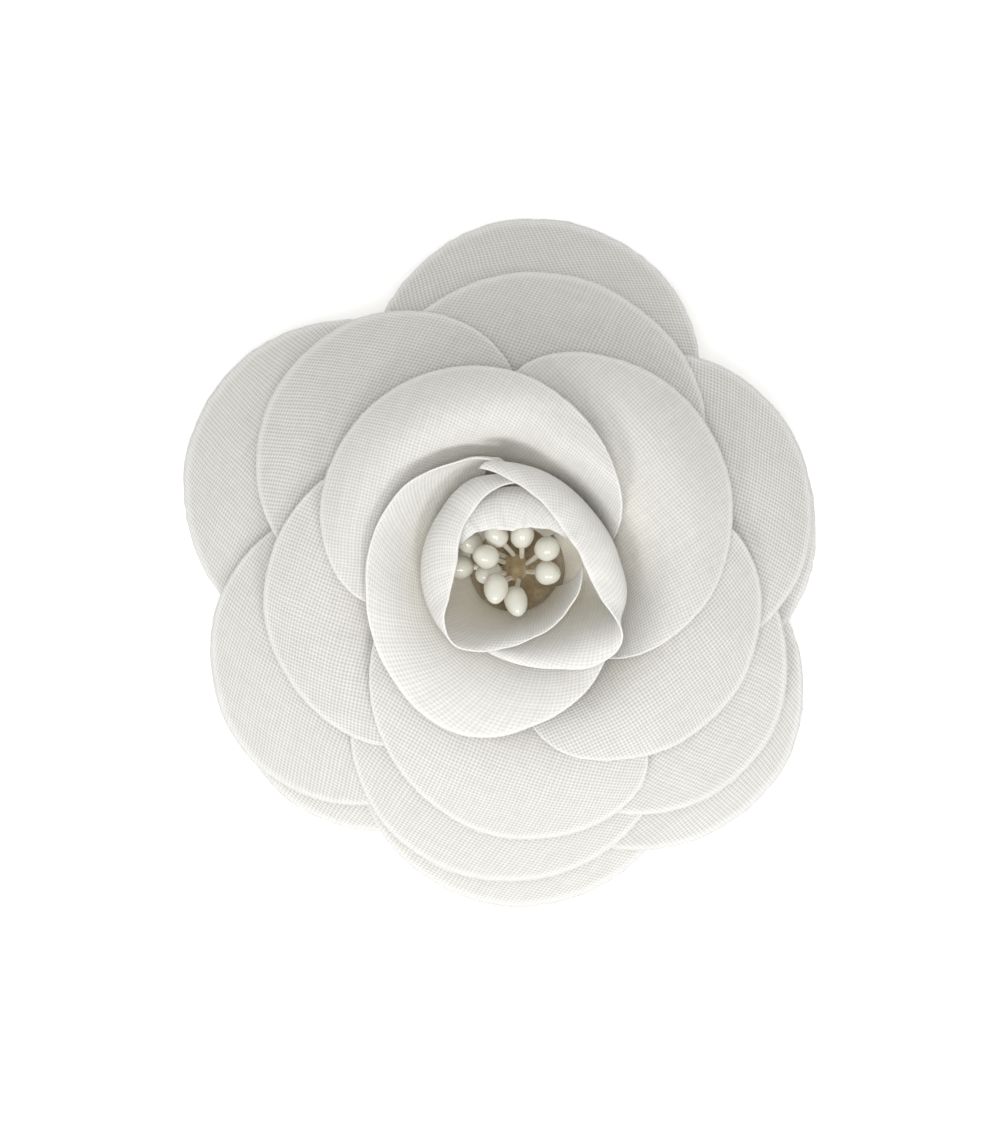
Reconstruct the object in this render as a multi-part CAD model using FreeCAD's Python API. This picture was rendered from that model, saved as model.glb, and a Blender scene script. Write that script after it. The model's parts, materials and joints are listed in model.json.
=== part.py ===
import FreeCAD, Part
import os
from math import atan2, cos, hypot, pi, radians, sin, sqrt, tanh

# Fabric flower hair clip, lying face up: a spiral of separate chiffon petals on a padded core, with
# pearl-headed stamens in its cup, glued to a felt disc and a single-prong alligator clip.
# Millimetres, +Z out of the flower's face, Z = 0 at the table that the clip's lever touches.

V = FreeCAD.Vector

# ---- driving dimensions -------------------------------------------------------------------------
FLOWER_X, FLOWER_Y = 2.2, -0.7      # the petal spiral's centre
PETAL_T = 0.4                       # two heat-set plies of chiffon
SPIRAL_STEPS, CUP_STEPS, STEPS_OUT = 24, 32, 8  # spline spans across and along one petal
SPIRAL_TILT = 120.0                 # degrees across one petal for one layer of depth
TILT_LIMIT = 0.54                   # layers
CORNER_REACH, FOOT_SPAN = 0.35, 0.6  # a spiral petal's rounded corners and narrowed foot
CUP_CORNER_DROP, CUP_FOOT_SPAN = 2.0, 0.8
BELLY_AT = 0.55                     # where up a cup petal its belly is

CORE_FLOOR, CORE_TOP = 10.2, 22.9
CORE_FOOT_R, CORE_CROWN_R = 13.6, 6.1
FELT_R, FELT_T = 20.0, 1.3
GLUE_T = 0.2

ARM_TOP = 8.7                       # outer face of the clip's flat upper arm
ARM_T, ARM_W = 0.7, 9.2
ARM_TAIL_X, ARM_TIP_X = -27.0, 28.0
PIVOT_X, PIVOT_Z = -11.0, 4.6
PIN_R, PIN_CLEARANCE, PIN_HEAD_R = 0.9, 0.05, 1.5
EAR_T = 0.6
WIRE_R, COIL_R, COIL_TURNS, COIL_PITCH = 0.35, 1.9, 3.5, 0.9
TEETH_FROM_X, TEETH_TO_X = 15.0, 26.0
LEG_LOW_X, LEG_LOW_Z = -21.0, 1.8
LEG_HIGH_X, LEG_HIGH_Z = -23.0, 7.6
PATCH_T, PATCH_W, PATCH_X = 0.8, 18.0, (2.5, 13.5)
JAW_W, TOOTH_COUNT, TOOTH_DEPTH, TOOTH_GAP = 6.6, 6, 1.1, 0.25

STAMEN_FOOT_Z, THREAD_R = 22.7, 0.35
THREAD_FOOT_R, FIRST_FOOT_AZIMUTH = 1.3, 225.0
HEAD_SINK = 1.1                     # from a head's middle to its thread's end
BINDING_R, BINDING_H = 2.0, 1.9

# Spiral petals from the top one down, turning clockwise: name, layer, lean azimuth, span from and to,
# then the rounded outline as a circle: azimuth and distance of its centre from the axis, and radius.
SPIRAL_PETALS = [
    ("petal_01", -0.40, 105, 5, 205, 132, 9.3, 21.9),
    ("petal_02", 0.49, 24, -56, 104, 44, 11.6, 23.0),
    ("petal_03", 0.87, -33, -92, 24, -24, 15.0, 21.7),
    ("petal_04", 1.29, -108, -172, -46, -81, 15.8, 23.6),
    ("petal_05", 1.63, -167, -222, -112, -162, 14.8, 22.1),
    ("petal_06", 1.98, 138, 82, 194, 136, 22.0, 21.7),
    ("petal_07", 2.28, 81, 22, 140, 81, 17.9, 25.1),
    ("petal_08", 2.61, 22, -38, 82, 22, 21.5, 23.1),
    ("petal_09", 2.94, -38, -97, 21, -38, 22.9, 21.6),
    ("petal_10", 3.24, -92, -151, -33, -92, 22.5, 23.3),
    ("petal_11", 3.57, -151, -210, -92, -151, 25.9, 21.8),
    ("petal_12", 3.88, 154, 96, 212, 154, 26.2, 24.6),
    ("petal_13", 4.27, 84, 26, 142, 84, 26.6, 24.3),
    ("petal_14", 4.64, 16, -42, 74, 16, 20.9, 23.7),
    ("petal_15", 4.98, -44, -102, 14, -44, 25.2, 23.7),
    ("petal_16", 5.22, -88, -146, -30, -88, 24.6, 24.7),
    ("petal_17", 5.51, -140, -198, -82, -140, 25.9, 21.7),
]
# Upright cup petals inside the spiral: name, layer of the foot, span from and to, belly height, then
# belly radius, rim radius and rim height, each as (azimuth, value) points.
CUP_PETALS = [
    ("cup_petal_1", -1.7, 103, 316, 29.0,
     [(103, 15.9), (146, 16.0), (210, 16.3), (240, 15.2), (270, 14.2), (316, 14.0)],
     [(103, 16.0), (111, 16.6), (120, 17.3), (144, 19.8), (180, 21.3), (222, 23.8), (252, 25.4),
      (277, 22.9), (304, 20.0), (316, 18.5)],
     [(103, 34.6), (180, 34.6), (250, 32.6), (316, 33.6)]),
    ("cup_petal_2", -2.6, -110, 110, 31.0,
     [(-110, 10.8), (-70, 11.6), (-45, 13.6), (-20, 16.4), (6, 14.8), (40, 13.6), (80, 14.5), (110, 15.2)],
     [(-110, 12.4), (-71, 15.4), (-50, 18.2), (-33, 18.4), (-19, 12.8), (3, 9.8), (42, 8.8), (74, 10.5),
      (92, 12.0), (110, 14.0)],
     [(-110, 34.5), (-50, 35.0), (-19, 37.5), (42, 38.6), (110, 38.0)]),
    ("cup_petal_3", -3.4, 85, 362, 30.5,
     [(85, 12.8), (100, 13.2), (118, 13.9), (146, 13.3), (205, 13.6), (223, 13.0), (250, 10.2),
      (270, 8.8), (362, 8.8)],
     [(85, 12.4), (105, 11.6), (128, 10.0), (152, 8.9), (182, 8.6), (204, 10.4), (216, 12.6), (232, 14.2),
      (246, 13.4), (263, 11.7), (290, 10.2), (362, 9.6)],
     [(85, 36.0), (118, 36.4), (152, 37.0), (204, 37.0), (240, 34.6), (300, 34.2), (362, 34.6)]),
    ("cup_petal_4", -4.2, 30, 156, 29.5,
     [(30, 10.6), (90, 11.4), (156, 10.8)],
     [(30, 8.4), (65, 6.3), (90, 5.4), (108, 5.6), (130, 7.0), (156, 8.4)],
     [(30, 34.0), (90, 34.9), (156, 34.4)]),
]
# Pearl heads: x and y from the axis, height, then length, width and the azimuth of the long axis.
PEARLS = [
    (-4.3, 1.6, 33.4, 4.0, 3.5, 160), (-2.8, 4.8, 32.4, 4.2, 3.4, 120),
    (1.0, 4.7, 32.8, 4.2, 3.4, 78), (4.6, 2.7, 33.6, 3.9, 3.5, 30),
    (4.7, -0.8, 32.2, 3.9, 3.4, -12), (-2.8, -3.1, 34.0, 4.7, 3.5, -95),
    (0.1, -4.9, 31.8, 4.8, 3.4, -78), (-3.9, -0.8, 30.0, 4.0, 3.4, 205),
    (-6.6, 3.7, 29.8, 4.0, 3.4, 152), (-7.9, 0.1, 27.0, 4.0, 3.4, 183),
]


# ---- small helpers ------------------------------------------------------------------------------
def mix(a, b, t):
    return a + (b - a) * t


def polar(r, azimuth, z):
    """A point at radius r from the flower's axis."""
    return V(FLOWER_X + r * cos(radians(azimuth)), FLOWER_Y + r * sin(radians(azimuth)), z)


def smooth_value(points, x):
    """A smooth curve through (x, value) points, flat at neither end."""
    xs = [p[0] for p in points]
    ys = [p[1] for p in points]
    last = len(points) - 1
    x = min(max(x, xs[0]), xs[last])
    i = max(k for k in range(last) if xs[k] <= x)

    def slope(k):
        low, high = max(k - 1, 0), min(k + 1, last)
        return (ys[high] - ys[low]) / (xs[high] - xs[low])

    h = xs[i + 1] - xs[i]
    t = (x - xs[i]) / h
    return (ys[i] * (1 + 2 * t) * (1 - t) ** 2 + ys[i + 1] * t * t * (3 - 2 * t)
            + h * slope(i) * t * (1 - t) ** 2 + h * slope(i + 1) * t * t * (t - 1))


def export(name, shape):
    shape.exportStep(f"parts/{name}.step")


# ---- petals -------------------------------------------------------------------------------------
def profile_poles(layer):
    """Poles of the radial profile curve of one depth layer: layers nest without crossing."""
    lift = 2.0 if layer < 0 else 4.25
    return [
        (9.5 + 0.7 * (layer - 1), 16.0 - 1.1 * (layer - 1)),
        (19.0 + 0.5 * layer, 22.0 - 1.417 * layer),
        (19.0 + 2.667 * layer, 42.0 - lift * layer),
        (33.0 + 4.6 * layer - 0.29 * layer ** 2, 26.5 - 5.2 * layer + 0.08 * layer ** 2),
    ]


def cubic(poles, t, k):
    a, b, c, d = (p[k] for p in poles)
    return a * (1 - t) ** 3 + 3 * b * t * (1 - t) ** 2 + 3 * c * t * t * (1 - t) + d * t ** 3


def layer_height(layer, r):
    """Height of a layer's profile at radius r."""
    poles = profile_poles(layer)
    low, high = 0.0, 1.4
    for _ in range(40):
        middle = (low + high) / 2
        if cubic(poles, middle, 0) < r:
            low = middle
        else:
            high = middle
    return cubic(poles, low, 1)


def spiral_surface(petal):
    """The mid-surface of a spiral petal, as a function of u (-1 to 1 across) and v (0 foot to 1 rim)."""
    _, layer, lean, start, end, circle_azimuth, circle_distance, circle_r = petal
    middle, half = (start + end) / 2, (end - start) / 2

    def layer_at(azimuth):
        return layer + TILT_LIMIT * tanh((azimuth - lean) / SPIRAL_TILT / TILT_LIMIT)

    def rim_radius(azimuth):
        a = radians(azimuth - circle_azimuth)
        inside = max(circle_r ** 2 - (circle_distance * sin(a)) ** 2, 0.0)
        return circle_distance * cos(a) + sqrt(inside)

    def point(u, v):
        rim_azimuth = middle + u * half
        rim_foot = profile_poles(layer_at(rim_azimuth))[0][0]
        reach = (rim_radius(rim_azimuth) - rim_foot) * mix(CORNER_REACH, 1.0, cos(pi / 2 * u ** 6))
        azimuth = middle + u * half * mix(FOOT_SPAN, 1.0, 1 - (1 - v) ** 2)
        here = layer_at(azimuth)
        r = profile_poles(here)[0][0] + reach * v
        return polar(r, azimuth, layer_height(here, r))

    return point


def cup_surface(petal):
    """The mid-surface of an upright cup petal, through its foot, belly and rim curves."""
    _, layer, start, end, belly_z, bellies, rims, rim_heights = petal
    middle, half = (start + end) / 2, (end - start) / 2
    foot_r, foot_z = profile_poles(layer)[0]

    def point(u, v):
        azimuth = middle + u * half * mix(CUP_FOOT_SPAN, 1.0, v)
        low = (v - BELLY_AT) * (v - 1) / BELLY_AT
        mid = v * (1 - v) / (BELLY_AT * (1 - BELLY_AT))
        high = v * (v - BELLY_AT) / (1 - BELLY_AT)
        r = low * foot_r + mid * smooth_value(bellies, azimuth) + high * smooth_value(rims, azimuth)
        z = low * foot_z + mid * belly_z + high * smooth_value(rim_heights, azimuth)
        return polar(r, azimuth, z - CUP_CORNER_DROP * u ** 10 * v ** 3)

    return point


def even_steps(count):
    return [2 * i / count - 1 for i in range(count + 1)]


def end_weighted_steps(count):
    """Steps from -1 to 1 that are closer together towards a petal's rounded corners."""
    return [sin(pi / 2 * s) for s in even_steps(count)]


def sheet_solid(surface, steps_across):
    """A closed solid PETAL_T thick about a mid-surface."""
    step = 1e-3
    grids = ([], [])
    for u in steps_across:
        rows = ([], [])
        for j in range(STEPS_OUT + 1):
            v = j / STEPS_OUT
            across = surface(min(u + step, 1), v) - surface(max(u - step, -1), v)
            out = surface(u, min(v + step, 1)) - surface(u, max(v - step, 0))
            normal = across.cross(out).normalize()
            for side, row in zip((1, -1), rows):
                row.append(surface(u, v) + normal * (side * PETAL_T / 2))
        for grid, row in zip(grids, rows):
            grid.append(row)
    skins = []
    for grid in grids:
        skin = Part.BSplineSurface()
        skin.interpolate(grid)
        skins.append(skin)
    u0, u1, v0, v1 = skins[0].bounds()
    faces = [skin.toShape() for skin in skins]
    for edge in (lambda s: s.uIso(u0), lambda s: s.uIso(u1), lambda s: s.vIso(v0), lambda s: s.vIso(v1)):
        faces.append(Part.makeRuledSurface(edge(skins[0]).toShape(), edge(skins[1]).toShape(), 1))
    shell = Part.makeShell(faces)
    shell.sewShape()
    solid = Part.makeSolid(shell)
    if solid.Volume < 0:
        solid.reverse()
    return solid


# ---- flower core and stamens --------------------------------------------------------------------
def flower_core():
    """The padded receptacle that the petals are glued to, a cone with a rounded crown."""
    levels = [(CORE_FOOT_R, CORE_FLOOR), (CORE_FOOT_R, CORE_FLOOR + 0.4), (CORE_CROWN_R, CORE_TOP - 0.7),
              (CORE_CROWN_R * 0.85, CORE_TOP - 0.2), (CORE_CROWN_R * 0.5, CORE_TOP)]
    outline = [V(0, 0, CORE_FLOOR)] + [V(r, 0, z) for r, z in levels] + [V(0, 0, CORE_TOP)]
    core = Part.Face(Part.makePolygon(outline + outline[:1])).revolve(V(0, 0, 0), V(0, 0, 1), 360)
    core.translate(V(FLOWER_X, FLOWER_Y, 0))
    return core


def pearl_head(pearl):
    """A bead of glossy paste on a thread's end, longer than it is wide, its far end lifted a little."""
    x, y, z, length, width, azimuth = pearl
    bead = Part.makeSphere(width / 2)
    stretch = FreeCAD.Matrix()
    stretch.scale(length / width, 1, 1)
    bead = bead.transformGeometry(stretch)
    bead.Placement = FreeCAD.Placement(
        V(FLOWER_X + x, FLOWER_Y + y, z),
        FreeCAD.Rotation(V(0, 0, 1), azimuth).multiply(FreeCAD.Rotation(V(0, 1, 0), -30)))
    return bead


def thread(start, end):
    """One straight half of a double-ended stamen."""
    return Part.makeCylinder(THREAD_R, (end - start).Length, start, end - start)


def stamen_threads(index):
    """A folded stamen's two stiff threads, from the binding to just inside its two pearl heads."""
    halves = []
    by_azimuth = sorted(PEARLS, key=lambda pearl: atan2(pearl[1], pearl[0]))
    for pearl in (PEARLS[index], PEARLS[index + 5]):
        x, y, z = pearl[:3]
        azimuth = by_azimuth.index(pearl) * 360 / len(PEARLS) + FIRST_FOOT_AZIMUTH
        foot = polar(THREAD_FOOT_R, azimuth, STAMEN_FOOT_Z)
        outward = V(x / hypot(x, y), y / hypot(x, y), 0.9).normalize()
        halves.append(thread(foot, V(FLOWER_X + x, FLOWER_Y + y, z) - outward * HEAD_SINK))
    return Part.Compound(halves)


def stamen_binding():
    """The wrap of floral tape that holds the ten threads together on the core."""
    foot = V(FLOWER_X, FLOWER_Y, CORE_TOP - 0.3)
    wrap = Part.makeCylinder(BINDING_R, BINDING_H, foot)
    return wrap.makeFillet(0.4, wrap.Edges)


# ---- felt and glue ------------------------------------------------------------------------------
def felt_backing():
    disc = Part.makeCylinder(FELT_R, FELT_T, V(FLOWER_X, FLOWER_Y, CORE_FLOOR - FELT_T))
    return disc.makeFillet(0.3, disc.Edges)


def glue_pad():
    """Hot glue between the clip's upper arm and the felt."""
    return Part.makeBox(36, ARM_W - 1.2, GLUE_T, V(-16, -(ARM_W - 1.2) / 2, ARM_TOP))


def felt_patch():
    """The felt strip that passes under the upper arm, with its two ends turned up to the backing."""
    x0, x1 = PATCH_X
    top, inner = CORE_FLOOR - FELT_T, ARM_W / 2 + 0.3
    low = ARM_TOP - ARM_T - PATCH_T
    section = [
        V(x0, -PATCH_W / 2, top), V(x0, -PATCH_W / 2, top - PATCH_T), V(x0, -inner - PATCH_T, low),
        V(x0, inner + PATCH_T, low), V(x0, PATCH_W / 2, top - PATCH_T), V(x0, PATCH_W / 2, top),
        V(x0, inner, top), V(x0, inner, low + PATCH_T), V(x0, -inner, low + PATCH_T), V(x0, -inner, top),
    ]
    return Part.Face(Part.makePolygon(section + section[:1])).extrude(V(x1 - x0, 0, 0))


# ---- alligator clip -----------------------------------------------------------------------------
def side_plate(points, y, thickness):
    """A plate standing along X from its outline of (x, z) points, between y and y + thickness."""
    ring = [V(x, y, z) for x, z in points]
    return Part.Face(Part.makePolygon(ring + ring[:1])).extrude(V(0, thickness, 0))


def pivot_hole(radius):
    return Part.makeCylinder(radius, ARM_W * 2, V(PIVOT_X, -ARM_W, PIVOT_Z), V(0, 1, 0))


def upper_arm():
    """The flat prong under the flower, with two ears that carry the pivot pin."""
    under = ARM_TOP - ARM_T
    half, tip_half = ARM_W / 2, ARM_W * 0.32
    outline = [
        V(ARM_TAIL_X, -half * 0.8, under), V(ARM_TIP_X - 9, -half, under), V(ARM_TIP_X, -tip_half, under),
        V(ARM_TIP_X, tip_half, under), V(ARM_TIP_X - 9, half, under), V(ARM_TAIL_X, half * 0.8, under),
    ]
    strip = Part.Face(Part.makePolygon(outline + outline[:1])).extrude(V(0, 0, ARM_T))
    strip = strip.makeFillet(1.2, [e for e in strip.Edges if abs(e.tangentAt(0).z) > 0.9])
    ear = [
        (PIVOT_X - 4.2, under + 0.1), (PIVOT_X - 1.9, PIVOT_Z - 1.2), (PIVOT_X - 0.8, PIVOT_Z - 1.9),
        (PIVOT_X + 0.8, PIVOT_Z - 1.9), (PIVOT_X + 1.9, PIVOT_Z - 1.2), (PIVOT_X + 4.2, under + 0.1),
    ]
    ear_y = ARM_W / 2 - 0.4 - EAR_T
    for y in (-ear_y - EAR_T, ear_y):
        strip = strip.fuse(side_plate(ear, y, EAR_T))
    return strip.cut(pivot_hole(PIN_R)).removeSplitter()


def lower_centre_line():
    """Underside of the moving arm from the lever's tail to the jaw's tip, as (x, z) points."""
    return [(ARM_TAIL_X, 0.0), (-13.5, 1.35), (-6.0, 1.5), (27.0, 6.0)]


def lower_arm():
    """The moving jaw and thumb lever: a bent strip with two toothed side flanges and pivot ears."""
    line = lower_centre_line()
    arm = side_plate(line + [(x, z + ARM_T) for x, z in reversed(line)], -JAW_W / 2, JAW_W)
    tooth_top = ARM_TOP - ARM_T - TOOTH_GAP
    pitch = (TEETH_TO_X - TEETH_FROM_X) / TOOTH_COUNT
    flange = [
        (-20.0, 0.9), (PIVOT_X - 3.6, PIVOT_Z - 0.4), (PIVOT_X - 1.8, PIVOT_Z + 1.6),
        (PIVOT_X, PIVOT_Z + 2.0),
        (PIVOT_X + 1.8, PIVOT_Z + 1.6), (PIVOT_X + 4.2, PIVOT_Z - 1.1), (0.0, 3.4), (TEETH_FROM_X, 5.5),
    ]
    for k in range(TOOTH_COUNT):
        x = TEETH_FROM_X + k * pitch
        rise = min(1.0, 0.7 + 0.15 * k)
        flange += [(x + pitch / 2, mix(5.5, tooth_top, rise)), (x + pitch, tooth_top - TOOTH_DEPTH)]
    flange += [(TEETH_TO_X + 0.5, 6.2), (-6.0, 1.8), (-13.5, 1.6)]
    for y in (-JAW_W / 2, JAW_W / 2 - EAR_T):
        arm = arm.fuse(side_plate(flange, y, EAR_T))
    return arm.cut(pivot_hole(PIN_R + PIN_CLEARANCE)).removeSplitter()


def pivot_pin():
    reach = ARM_W / 2 - 0.35
    pin = Part.makeCylinder(PIN_R, 2 * reach, V(PIVOT_X, -reach, PIVOT_Z), V(0, 1, 0))
    for y, direction in ((-reach, -1), (reach, 1)):
        pin = pin.fuse(Part.makeCylinder(PIN_HEAD_R, 0.6, V(PIVOT_X, y, PIVOT_Z), V(0, direction, 0)))
    return pin


def torsion_spring():
    """A coil round the pivot pin, with one leg under the upper arm and one on the lever."""
    width = COIL_TURNS * COIL_PITCH
    helix = Part.makeHelix(COIL_PITCH, width, COIL_R)
    ring = Part.Wire(Part.makeCircle(WIRE_R, V(COIL_R, 0, 0), V(0, COIL_R, COIL_PITCH / (2 * pi))))
    spring = Part.Wire(helix.Edges).makePipeShell([ring], True, True)
    from_below = FreeCAD.Rotation(V(1, 0, 0), 90).multiply(FreeCAD.Rotation(V(0, 0, 1), -90))
    spring.Placement = FreeCAD.Placement(V(PIVOT_X, width / 2, PIVOT_Z), from_below)
    legs = [
        (V(PIVOT_X, width / 2, PIVOT_Z - COIL_R), V(LEG_LOW_X, width / 2, LEG_LOW_Z)),
        (V(PIVOT_X, -width / 2, PIVOT_Z + COIL_R), V(LEG_HIGH_X, -width / 2, LEG_HIGH_Z)),
    ]
    for coil_end, leg_end in legs:
        leg = leg_end - coil_end
        spring = spring.fuse(Part.makeCylinder(WIRE_R, leg.Length, coil_end, leg))
    return spring


# ---- write every sub-part -----------------------------------------------------------------------
os.makedirs("parts", exist_ok=True)
for petal in SPIRAL_PETALS:
    export(petal[0], sheet_solid(spiral_surface(petal), end_weighted_steps(SPIRAL_STEPS)))
for petal in CUP_PETALS:
    export(petal[0], sheet_solid(cup_surface(petal), even_steps(CUP_STEPS)))
for number, pearl in enumerate(PEARLS, 1):
    export(f"pearl_head_{number:02d}", pearl_head(pearl))
for number in range(5):
    export(f"stamen_threads_{number + 1}", stamen_threads(number))
export("stamen_binding", stamen_binding())
export("flower_core", flower_core())
export("felt_backing", felt_backing())
export("felt_patch", felt_patch())
export("glue_pad", glue_pad())
export("clip_upper_arm", upper_arm())
export("clip_lower_arm", lower_arm())
export("pivot_pin", pivot_pin())
export("torsion_spring", torsion_spring())
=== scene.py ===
import json
from math import atan2, cos, pi, radians, sin

import bpy
import numpy as np
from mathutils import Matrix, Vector, noise


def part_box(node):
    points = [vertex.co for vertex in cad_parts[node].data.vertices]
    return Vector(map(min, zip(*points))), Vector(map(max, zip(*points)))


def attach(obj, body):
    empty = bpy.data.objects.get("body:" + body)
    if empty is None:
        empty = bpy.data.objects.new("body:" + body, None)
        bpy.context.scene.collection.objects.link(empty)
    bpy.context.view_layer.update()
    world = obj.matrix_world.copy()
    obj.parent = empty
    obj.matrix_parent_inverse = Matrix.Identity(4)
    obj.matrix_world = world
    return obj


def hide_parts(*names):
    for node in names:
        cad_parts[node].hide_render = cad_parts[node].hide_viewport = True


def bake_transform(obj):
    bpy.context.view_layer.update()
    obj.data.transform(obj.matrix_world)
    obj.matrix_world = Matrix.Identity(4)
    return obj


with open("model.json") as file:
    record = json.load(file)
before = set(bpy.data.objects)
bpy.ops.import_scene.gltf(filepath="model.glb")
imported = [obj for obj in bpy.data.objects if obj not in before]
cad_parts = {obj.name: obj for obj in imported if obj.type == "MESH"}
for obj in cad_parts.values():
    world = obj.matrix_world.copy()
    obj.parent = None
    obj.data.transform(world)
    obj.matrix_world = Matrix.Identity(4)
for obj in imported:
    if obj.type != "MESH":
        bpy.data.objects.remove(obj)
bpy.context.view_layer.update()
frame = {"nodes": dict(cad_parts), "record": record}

# Fabric flower hair clip, lying face up. Shapes are worked out in millimetres in the row frame and
# written to the meshes in metres.

MM = 0.001
HINGE = next(j for j in frame["record"]["behaviour"]["joints"] if j["name"] == "jaw_hinge")

# ---- driving dimensions, mm ---------------------------------------------------------------------
FLOWER_X, FLOWER_Y = 2.2, -0.7      # the petal spiral's centre
PETAL_T = 0.34
THREAD_PITCH = 0.5                  # one thread of the petals' plain weave
SPIRAL_TILT, TILT_LIMIT = 120.0, 0.54
CORNER_REACH, FOOT_SPAN = 0.35, 0.6
CUP_CORNER_DROP, CUP_FOOT_SPAN, BELLY_AT = 2.0, 0.8, 0.55
STEPS_ACROSS, STEPS_OUT, CUP_STEPS = 132, 60, 220
# Where the top spiral petals bulge up against cup_petal_2: lift in mm by radius, and share by azimuth.
FULL_FROM_CENTRE = [(11.5, 0), (13.5, 2.2), (15.5, 4.4), (18.0, 3.4), (21.0, 0.9), (23.0, 0)]
FULL_ROUND = [(-12, 0), (10, 0.5), (30, 1), (70, 1), (84, 0.5), (96, 0)]

STAMEN_FOOT_Z, THREAD_R, THREAD_FOOT_R, FIRST_FOOT_AZIMUTH = 22.7, 0.35, 1.3, 225.0
CORE_FLOOR, CORE_TOP, CORE_FOOT_R, CORE_CROWN_R = 10.2, 22.9, 13.6, 6.1
BINDING_R, BINDING_H = 2.0, 1.9
WIRE_R, COIL_R, COIL_TURNS, COIL_PITCH = 0.35, 1.9, 3.5, 0.9
LEG_LOW, LEG_HIGH = (-21.0, 1.8), (-23.0, 7.6)
LEG_LOW_BEND_Z, LEG_HIGH_BEND_Z = 2.3, 7.05
FELT_STRIP_T, STRIP_FLAT = 0.8, 4.9     # the strip, and half its length where it lies on the clip
STRIP_INSET, FELT_EASE = 0.06, 0.1      # kept inside the solids' faces
TURN_STEPS = 40                         # points in one turn of the coil
LEAST_SHARE = 0.31                      # of a petal's width times length, declared as its area
FIRST_OUTER, LAST_INNER = 12, 2         # petals with a rougher cut edge, and with the copy of the cloth painted paler, as painted light
FAN = 0.8                               # how far a spiral petal's cloth turns, for one turn round the axis

# Stage, in metres and watts. A softbox is its name, place, width, power and whether metal mirrors it.
FLOOR_HALF, FLOOR_DROP, FLOOR_GLOW, SKY_STRENGTH = 12.0, 0.0002, 0.3, 0.6
SOFTBOXES = [
    ("key_left", (-0.24, -0.74, 0.90), 0.26, 4.0, True),
    ("key_right", (0.20, -0.76, 0.90), 0.26, 4.0, True),
    ("overhead", (0.0, 0.0, 1.25), 0.45, 4.8, False),
]
CAMERA_AWAY, FRAME_HEIGHT, LOOK_Z, SENSOR_MM = 2.2, 0.16256, 0.02, 36.0

# Spiral petals from the top one down, as in the solid model: name, layer, lean azimuth, span from and
# to, then the outline circle's azimuth, distance and radius, and last the weave's grain angle.
SPIRAL_PETALS = [
    ("petal_01", -0.40, 105, 5, 205, 132, 9.3, 21.9, 38),
    ("petal_02", 0.49, 24, -56, 104, 44, 11.6, 23.0, -12),
    ("petal_03", 0.87, -33, -92, 24, -24, 15.0, 21.7, 20),
    ("petal_04", 1.29, -108, -172, -46, -81, 15.8, 23.6, 5),
    ("petal_05", 1.63, -167, -222, -112, -162, 14.8, 22.1, 30),
    ("petal_06", 1.98, 138, 82, 194, 136, 22.0, 21.7, -25),
    ("petal_07", 2.28, 81, 22, 140, 81, 17.9, 25.1, 14),
    ("petal_08", 2.61, 22, -38, 82, 22, 21.5, 23.1, 40),
    ("petal_09", 2.94, -38, -97, 21, -38, 22.9, 21.6, -8),
    ("petal_10", 3.24, -92, -151, -33, -92, 22.5, 23.3, 24),
    ("petal_11", 3.57, -151, -210, -92, -151, 25.9, 21.8, -34),
    ("petal_12", 3.88, 154, 96, 212, 154, 26.2, 24.6, 12),
    ("petal_13", 4.27, 84, 26, 142, 84, 26.6, 24.3, -20),
    ("petal_14", 4.64, 16, -42, 74, 16, 20.9, 23.7, 33),
    ("petal_15", 4.98, -44, -102, 14, -44, 25.2, 23.7, 2),
    ("petal_16", 5.22, -88, -146, -30, -88, 24.6, 24.7, 27),
    ("petal_17", 5.51, -140, -198, -82, -140, 25.9, 21.7, -15),
]
# Upright cup petals, a little fuller than their solids: name, foot layer, span, belly height, then belly
# radius, rim radius and rim height as (azimuth, value) points, and the grain angle.
CUP_PETALS = [
    ("cup_petal_1", -1.7, 95, 316, 29.0,
     [(95, 14.9), (112, 15.5), (146, 16.0), (210, 16.3), (240, 15.2), (270, 14.2), (316, 14.0)],
     [(95, 15.0), (103, 15.7), (111, 16.6), (120, 17.3), (144, 19.8), (180, 21.3), (222, 23.8), (252, 25.4),
      (277, 22.9), (304, 20.0), (316, 18.5)],
     [(95, 31.6), (105, 32.6), (128, 34.4), (180, 34.6), (250, 32.6), (316, 33.6)], 22),
    ("cup_petal_2", -2.6, -110, 110, 32.0,
     [(-110, 10.8), (-70, 11.6), (-45, 13.6), (-20, 16.4), (6, 14.8), (40, 13.6), (80, 14.5), (110, 15.2)],
     [(-110, 12.4), (-71, 15.4), (-50, 18.2), (-33, 18.4), (-19, 12.8), (3, 9.8), (42, 8.8), (74, 10.5),
      (92, 12.5), (110, 15.1)],
     [(-110, 34.5), (-50, 35.0), (-19, 37.5), (42, 38.6), (80, 38.2), (110, 36.2)], 35),
    ("cup_petal_3", -3.4, 85, 362, 31.0,
     [(85, 12.8), (100, 13.2), (118, 13.9), (146, 13.3), (205, 13.6), (223, 13.0), (250, 10.2),
      (270, 8.8), (362, 8.8)],
     [(85, 12.4), (105, 11.6), (128, 10.0), (152, 8.9), (182, 8.6), (204, 10.4), (216, 12.6), (232, 14.2),
      (246, 13.4), (263, 11.7), (290, 10.2), (362, 9.6)],
     [(85, 36.0), (118, 36.4), (152, 37.0), (204, 37.0), (240, 34.6), (300, 34.2), (362, 34.6)], 12),
    ("cup_petal_4", -4.2, 30, 156, 32.0,
     [(30, 10.6), (90, 11.4), (156, 10.8)],
     [(30, 8.4), (65, 6.3), (90, 5.4), (108, 5.6), (130, 7.0), (156, 8.4)],
     [(30, 34.0), (90, 34.9), (156, 34.4)], -18),
]
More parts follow.
